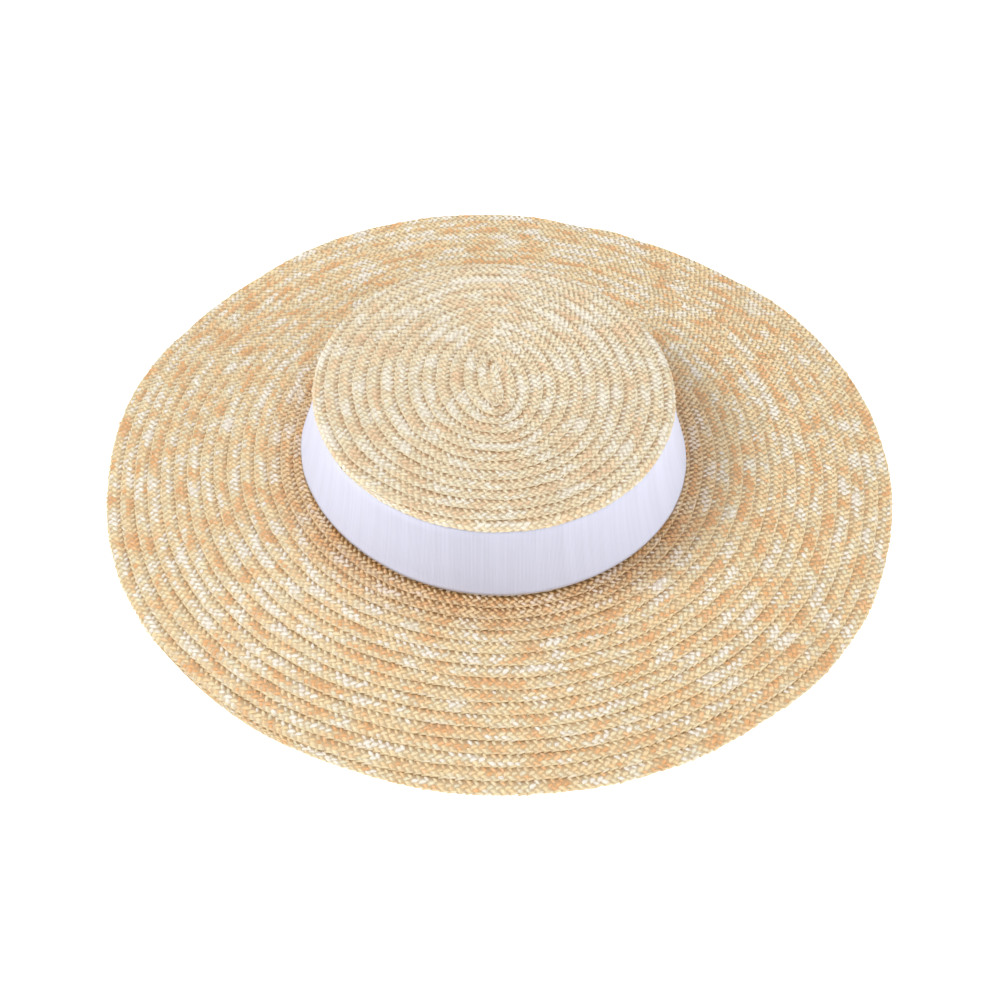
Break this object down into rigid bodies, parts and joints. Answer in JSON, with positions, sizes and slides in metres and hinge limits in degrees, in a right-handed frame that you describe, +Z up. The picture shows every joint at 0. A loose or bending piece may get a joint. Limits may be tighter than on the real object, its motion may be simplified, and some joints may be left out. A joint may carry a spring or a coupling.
{
  "type": "straw boater hat",
  "caption": "Low flat-crowned boater hat of sewn straw braid with a wide, gently waved brim and a plain ribbed ribbon band round the crown.",
  "frame": {"origin": "on the surface the hat rests on, under the middle of the brim", "axes": "+Z up through the crown, +Y towards the back of the hat along the head oval, +X towards the right side seen from the front"},
  "size_m": [0.3864, 0.4184, 0.0451],
  "materials": {
    "crown_straw": "glossy natural straw braid, pale cream to golden",
    "brim_straw": "glossy natural straw braid, golden tan with pale and reddish strands",
    "ribbon": "matt ribbed ribbon, cool white"
  },
  "bodies": {
    "root": {"crown": "crown_straw", "brim": "brim_straw", "ribbon_band": "ribbon"}
  },
  "joints": []
}
